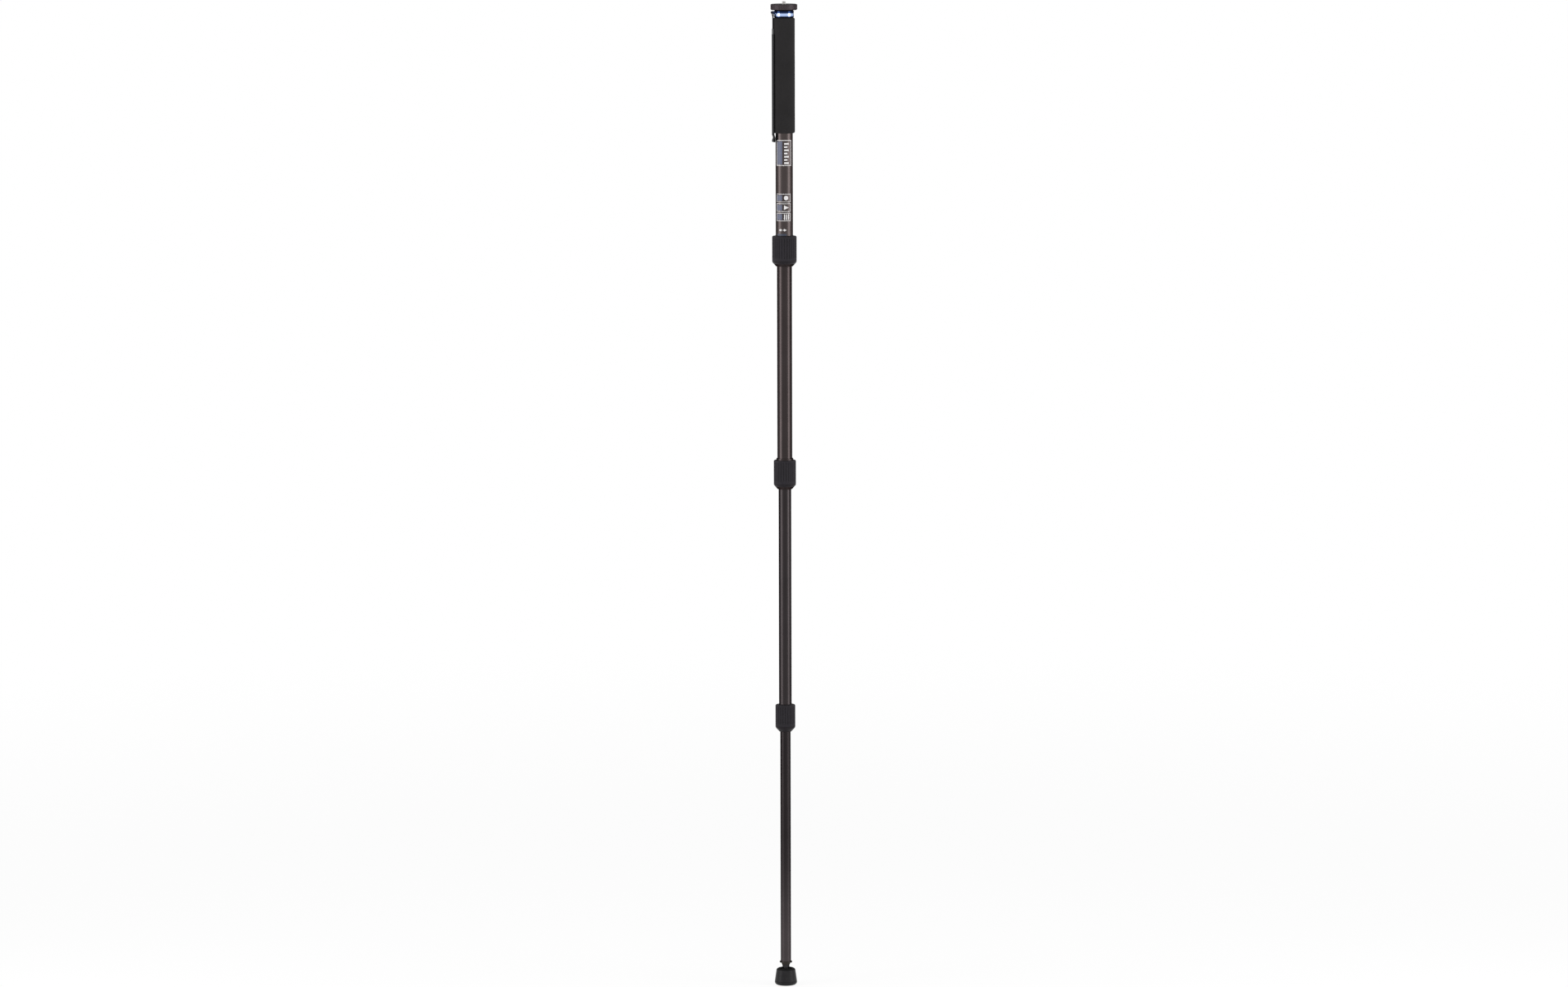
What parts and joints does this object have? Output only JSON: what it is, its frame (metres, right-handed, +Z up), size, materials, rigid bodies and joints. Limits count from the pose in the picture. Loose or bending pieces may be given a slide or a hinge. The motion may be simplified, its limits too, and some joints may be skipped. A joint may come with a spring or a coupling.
{
  "type": "camera monopod",
  "caption": "Telescoping camera monopod with twist locks, foam grip, wrist strap and ball-jointed rubber foot, drawn out to full height.",
  "frame": {"origin": "on the floor under the centre of the foot, with the pole upright and drawn out to its full height", "axes": "+Z up the pole to the camera screw, +X to the right of someone looking along +Y; the wrist strap hangs on the -X side, turned 16 degrees toward -Y"},
  "size_m": [0.0432, 0.0432, 1.6133],
  "materials": {
    "tube_metal": "satin anodised, warm titanium grey",
    "lock_metal": "satin black anodised",
    "head_metal": "satin black anodised, turned",
    "blue_metal": "glossy blue anodised, turned",
    "raw_metal": "bare turned aluminium",
    "steel": "bright turned steel",
    "black_steel": "black oxide",
    "lock_rubber": "matt moulded rubber",
    "foot_rubber": "matt moulded rubber",
    "pad_rubber": "matt moulded rubber",
    "foam": "matt closed-cell foam",
    "webbing": "woven tape",
    "black_plastic": "matt moulded plastic",
    "bush_plastic": "natural white acetal"
  },
  "bodies": {
    "upper_section": {"camera_screw": "steel", "camera_pad": "pad_rubber", "camera_plate": "head_metal", "plate_screws": "black_steel", "head_plug": "raw_metal", "head_collar": "blue_metal", "strap_pin": "steel", "strap_tape": "webbing", "strap_keeper": "black_plastic", "wrist_strap": "webbing", "foam_grip": "foam", "upper_tube": "tube_metal", "ferrule_1": "raw_metal", "clamp_bush_1": "bush_plastic"},
    "upper_lock": {"lock_core_1": "lock_metal", "lock_sleeve_1": "lock_rubber", "lock_wiper_1": "lock_rubber"},
    "second_section": {"second_tube": "tube_metal", "second_guide_shims": "bush_plastic", "ferrule_2": "raw_metal", "clamp_bush_2": "bush_plastic"},
    "middle_lock": {"lock_core_2": "lock_metal", "lock_sleeve_2": "lock_rubber", "lock_wiper_2": "lock_rubber"},
    "third_section": {"third_tube": "tube_metal", "third_guide_shims": "bush_plastic", "ferrule_3": "raw_metal", "clamp_bush_3": "bush_plastic"},
    "lower_lock": {"lock_core_3": "lock_metal", "lock_sleeve_3": "lock_rubber", "lock_wiper_3": "lock_rubber"},
    "fourth_section": {"fourth_tube": "tube_metal", "fourth_guide_shims": "bush_plastic", "foot_plug": "head_metal", "ball_stud": "black_steel"},
    "foot_socket": {"socket_liner": "black_plastic"},
    "foot": {"rubber_foot": "foot_rubber"}
  },
  "joints": [
    {"name": "upper_lock_twist", "type": "hinge", "parent": "upper_section", "child": "upper_lock", "pos_m": [0, 0, 1.2094], "axis": [0, 0, -1], "range_deg": [0, 120]},
    {"name": "second_section_slide", "type": "slide", "parent": "upper_section", "child": "second_section", "axis": [0, 0, 1], "range_m": [0, 0.311]},
    {"name": "middle_lock_twist", "type": "hinge", "parent": "second_section", "child": "middle_lock", "pos_m": [0, 0, 0.8458], "axis": [0, 0, -1], "range_deg": [0, 120]},
    {"name": "third_section_slide", "type": "slide", "parent": "second_section", "child": "third_section", "axis": [0, 0, 1], "range_m": [0, 0.351]},
    {"name": "lower_lock_twist", "type": "hinge", "parent": "third_section", "child": "lower_lock", "pos_m": [0, 0, 0.4439], "axis": [0, 0, -1], "range_deg": [0, 120]},
    {"name": "fourth_section_slide", "type": "slide", "parent": "third_section", "child": "fourth_section", "axis": [0, 0, 1], "range_m": [0, 0.379]},
    {"name": "foot_tilt_forward", "type": "hinge", "parent": "fourth_section", "child": "foot_socket", "pos_m": [0, 0, 0.02046], "axis": [1, 0, 0], "range_deg": [-20, 20]},
    {"name": "foot_tilt_sideways", "type": "hinge", "parent": "foot_socket", "child": "foot", "pos_m": [0, 0, 0.02046], "axis": [0, 1, 0], "range_deg": [-20, 20]}
  ]
}
